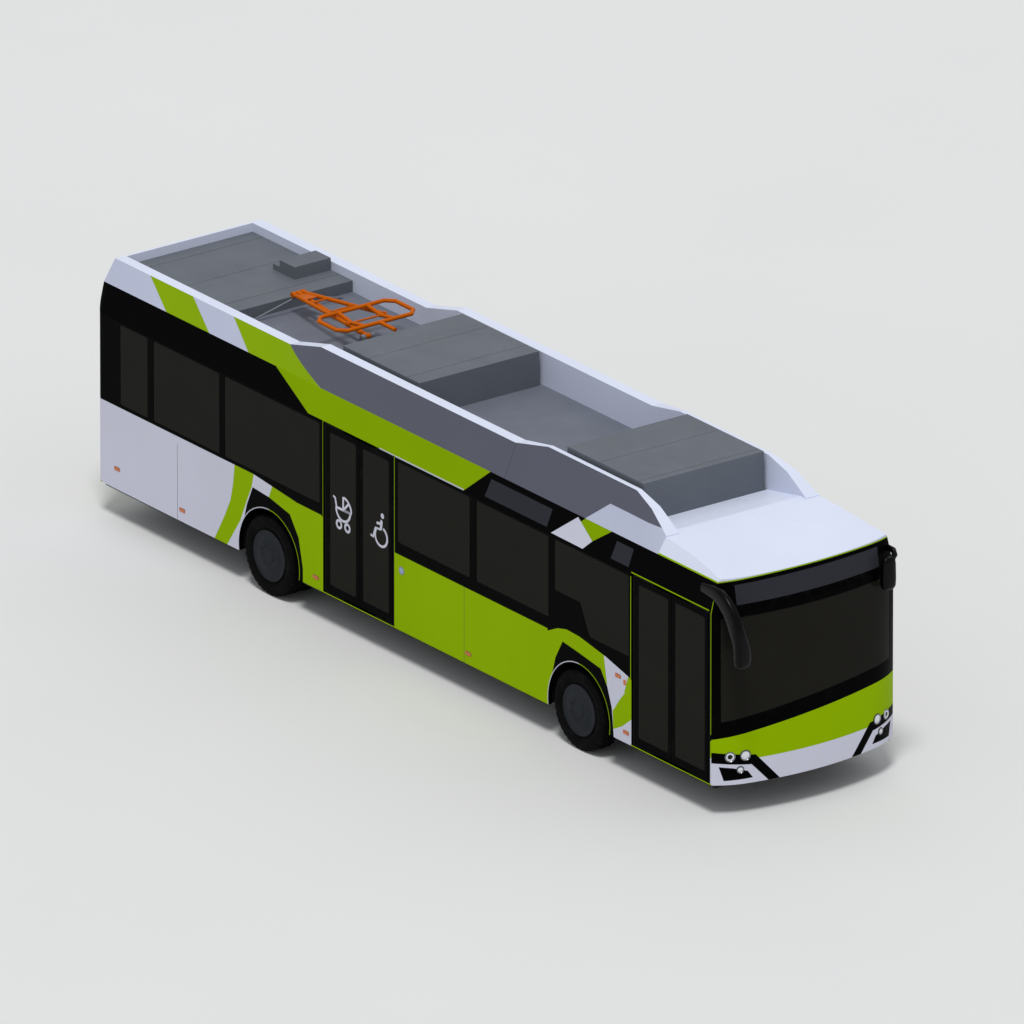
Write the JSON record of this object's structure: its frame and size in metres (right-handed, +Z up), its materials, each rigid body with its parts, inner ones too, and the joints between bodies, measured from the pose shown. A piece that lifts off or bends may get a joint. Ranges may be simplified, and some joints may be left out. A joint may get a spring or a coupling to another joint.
{
  "type": "city bus",
  "caption": "Low-floor electric city bus with two double doors, roof packs between raised fairings, folding roof pantograph, steered front wheels and a rear hatch.",
  "frame": {"origin": "on the road surface, below the middle of the overall box", "axes": "+X towards the front, +Y towards the driver's side, +Z up"},
  "size_m": [12.16, 2.558, 3.3399],
  "materials": {
    "body_paint": "smooth gloss paint in lime, white, black and grey fields",
    "black_panel": "gloss black",
    "window_glass": "dark tinted safety glass",
    "floor_frame": "dark underbody coating",
    "roof_skin": "matt grey roof coating",
    "pack_grey": "matt grey covers",
    "drive_box": "plain covers",
    "dark_steel": "satin chassis paint",
    "door_steel": "satin black paint",
    "orange_paint": "satin orange paint",
    "tyre_rubber": "worn rubber",
    "wheel_grey": "dark grey satin paint",
    "lamp_lens": "clear and coloured lenses",
    "mirror_black": "satin black housings",
    "seat_fabric": "woven seat cloth",
    "rail_paint": "smooth yellow paint",
    "dash_plastic": "grained plastic"
  },
  "bodies": {
    "root": {"battery_packs": "pack_grey", "chassis_floor": "floor_frame", "drive_block": "drive_box", "driver_place": "dash_plastic", "front_axle": "dark_steel", "front_dome": "body_paint", "front_frame": "black_panel", "front_glass": "window_glass", "handrails": "rail_paint", "lamps": "lamp_lens", "mirrors": "mirror_black", "nose_panel": "body_paint", "panto_base": "dark_steel", "rear_axle": "dark_steel", "rear_glass": "window_glass", "rear_roof_unit": "pack_grey", "rear_wall": "body_paint", "roof": "roof_skin", "roof_fairing": "body_paint", "seats": "seat_fabric", "wall_left": "body_paint", "wall_right": "body_paint", "windows_left": "window_glass", "windows_right": "window_glass"},
    "mid_door_rear_arms": {"mid_door_rear_post": "door_steel"},
    "mid_door_rear": {"mid_door_rear_leaf": "black_panel", "mid_door_rear_glass": "window_glass"},
    "mid_door_front_arms": {"mid_door_front_post": "door_steel"},
    "mid_door_front": {"mid_door_front_leaf": "black_panel", "mid_door_front_glass": "window_glass"},
    "front_door_rear_arms": {"front_door_rear_post": "door_steel"},
    "front_door_rear": {"front_door_rear_leaf": "black_panel", "front_door_rear_glass": "window_glass"},
    "front_door_front_arms": {"front_door_front_post": "door_steel"},
    "front_door_front": {"front_door_front_leaf": "black_panel", "front_door_front_glass": "window_glass"},
    "knuckle_left": {"knuckle_left": "dark_steel"},
    "knuckle_right": {"knuckle_right": "dark_steel"},
    "tie_rod": {"tie_rod": "dark_steel"},
    "wheel_front_left": {"tyre_front_left": "tyre_rubber", "rim_front_left": "wheel_grey"},
    "wheel_rear_left": {"tyre_rear_left": "tyre_rubber", "rim_rear_left": "wheel_grey"},
    "wheel_front_right": {"tyre_front_right": "tyre_rubber", "rim_front_right": "wheel_grey"},
    "wheel_rear_right": {"tyre_rear_right": "tyre_rubber", "rim_rear_right": "wheel_grey"},
    "pantograph_lower_arm": {"panto_lower_arm": "orange_paint"},
    "pantograph_upper_arm": {"panto_upper_arm": "orange_paint"},
    "pantograph_head": {"panto_head": "orange_paint"},
    "rear_hatch": {"rear_hatch": "body_paint"}
  },
  "joints": [
    {"name": "mid_door_rear_swing", "type": "hinge", "parent": "root", "child": "mid_door_rear_arms", "pos_m": [-1.722, -1.247, 0.4], "axis": [0, 0, 1], "range_deg": [0, 90]},
    {"name": "mid_door_rear_fold", "type": "hinge", "parent": "mid_door_rear_arms", "child": "mid_door_rear", "pos_m": [-1.3835, -1.247, 0.42], "axis": [0, 0, 1], "range_deg": [-180, 0]},
    {"name": "mid_door_front_swing", "type": "hinge", "parent": "root", "child": "mid_door_front_arms", "pos_m": [-0.418, -1.247, 0.4], "axis": [0, 0, -1], "range_deg": [0, 90]},
    {"name": "mid_door_front_fold", "type": "hinge", "parent": "mid_door_front_arms", "child": "mid_door_front", "pos_m": [-0.7565, -1.247, 0.42], "axis": [0, 0, -1], "range_deg": [-180, 0]},
    {"name": "front_door_rear_swing", "type": "hinge", "parent": "root", "child": "front_door_rear_arms", "pos_m": [4.128, -1.247, 0.4], "axis": [0, 0, 1], "range_deg": [0, 90]},
    {"name": "front_door_rear_fold", "type": "hinge", "parent": "front_door_rear_arms", "child": "front_door_rear", "pos_m": [4.4965, -1.247, 0.42], "axis": [0, 0, 1], "range_deg": [-180, 0]},
    {"name": "front_door_front_swing", "type": "hinge", "parent": "root", "child": "front_door_front_arms", "pos_m": [5.552, -1.247, 0.4], "axis": [0, 0, -1], "range_deg": [0, 90]},
    {"name": "front_door_front_fold", "type": "hinge", "parent": "front_door_front_arms", "child": "front_door_front", "pos_m": [5.1835, -1.247, 0.42], "axis": [0, 0, -1], "range_deg": [-180, 0]},
    {"name": "steering", "type": "hinge", "parent": "root", "child": "knuckle_left", "pos_m": [3.07, 0.905, 0.479], "axis": [0, 0, 1], "range_deg": [-42, 42]},
    {"name": "steering_right", "type": "hinge", "parent": "root", "child": "knuckle_right", "pos_m": [3.07, -0.905, 0.479], "axis": [0, 0, 1], "range_deg": [-42, 42]},
    {"name": "tie_rod_pivot", "type": "hinge", "parent": "knuckle_left", "child": "tie_rod", "pos_m": [2.83, 0.905, 0.266], "axis": [0, 0, 1], "range_deg": [-42, 42]},
    {"name": "wheel_front_left_spin", "type": "hinge", "parent": "knuckle_left", "child": "wheel_front_left", "pos_m": [3.07, 1.1175, 0.479], "axis": [0, 1, 0], "continuous": true},
    {"name": "wheel_rear_left_spin", "type": "hinge", "parent": "root", "child": "wheel_rear_left", "pos_m": [-2.83, 1.1175, 0.479], "axis": [0, 1, 0], "continuous": true},
    {"name": "wheel_front_right_spin", "type": "hinge", "parent": "knuckle_right", "child": "wheel_front_right", "pos_m": [3.07, -1.1175, 0.479], "axis": [0, 1, 0], "continuous": true},
    {"name": "wheel_rear_right_spin", "type": "hinge", "parent": "root", "child": "wheel_rear_right", "pos_m": [-2.83, -1.1175, 0.479], "axis": [0, 1, 0], "continuous": true},
    {"name": "pantograph_lift", "type": "hinge", "parent": "root", "child": "pantograph_lower_arm", "pos_m": [-2.63, 0, 2.935], "axis": [0, 1, 0], "range_deg": [0, 45]},
    {"name": "pantograph_knee", "type": "hinge", "parent": "pantograph_lower_arm", "child": "pantograph_upper_arm", "pos_m": [-3.96, 0, 3.042], "axis": [0, 1, 0], "range_deg": [-90, 0]},
    {"name": "pantograph_level", "type": "hinge", "parent": "pantograph_upper_arm", "child": "pantograph_head", "pos_m": [-2.655, 0, 3.135], "axis": [0, 1, 0], "range_deg": [0, 45]},
    {"name": "hatch", "type": "hinge", "parent": "root", "child": "rear_hatch", "pos_m": [-6.067, 0, 1.343], "axis": [0, 1, 0], "range_deg": [0, 75]}
  ],
  "couplings": [
    {"joint": "mid_door_rear_fold", "follows": "mid_door_rear_swing", "ratio": -2},
    {"joint": "mid_door_front_fold", "follows": "mid_door_front_swing", "ratio": -2},
    {"joint": "front_door_rear_fold", "follows": "front_door_rear_swing", "ratio": -2},
    {"joint": "front_door_front_fold", "follows": "front_door_front_swing", "ratio": -2},
    {"joint": "steering_right", "follows": "steering", "ratio": 1},
    {"joint": "tie_rod_pivot", "follows": "steering", "ratio": -1},
    {"joint": "pantograph_knee", "follows": "pantograph_lift", "ratio": -2},
    {"joint": "pantograph_level", "follows": "pantograph_lift", "ratio": 1}
  ]
}
